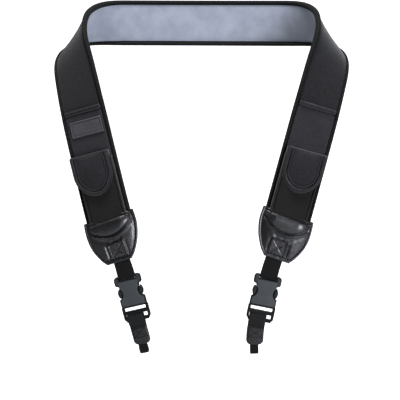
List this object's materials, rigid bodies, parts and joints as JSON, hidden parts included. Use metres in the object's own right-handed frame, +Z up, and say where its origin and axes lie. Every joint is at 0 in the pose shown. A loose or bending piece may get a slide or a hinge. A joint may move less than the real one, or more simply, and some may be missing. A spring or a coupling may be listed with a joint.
{
  "type": "camera neck strap",
  "caption": "Padded neoprene camera neck strap with bound edges, small flap pockets, leather tips, side-release buckles and narrow webbing leads, in the form it has when worn.",
  "frame": {"origin": "on the inner face of the band, in the middle of the nape", "axes": "+Z up, -Y forward from the wearer's nape to the chest, +X to the viewer's right when the strap is seen from in front of the wearer"},
  "size_m": [0.364, 0.1074, 0.4427],
  "materials": {
    "neoprene": "black neoprene with a fine knitted face",
    "lining": "grey suede-like knit",
    "binding": "black woven edge tape",
    "pocket": "warm black knit",
    "leather": "dark grey smooth imitation leather",
    "webbing": "black woven webbing",
    "plastic": "dark slate moulded plastic"
  },
  "bodies": {
    "root": {"neck_pad": "neoprene", "pad_lining": "lining", "binding_inner": "binding", "binding_outer": "binding", "label_patch": "leather", "pocket_panel_left": "pocket", "pocket_pouch_left": "pocket", "pocket_flap_left": "neoprene", "leather_tip_left": "leather", "webbing_left": "webbing", "buckle_socket_left": "plastic", "buckle_plug_left": "plastic", "tail_webbing_left": "webbing", "end_tab_left": "leather", "lead_left": "webbing", "pocket_panel_right": "pocket", "pocket_pouch_right": "pocket", "pocket_flap_right": "neoprene", "leather_tip_right": "leather", "webbing_right": "webbing", "buckle_socket_right": "plastic", "buckle_plug_right": "plastic", "tail_webbing_right": "webbing", "end_tab_right": "leather", "lead_right": "webbing"}
  },
  "joints": []
}
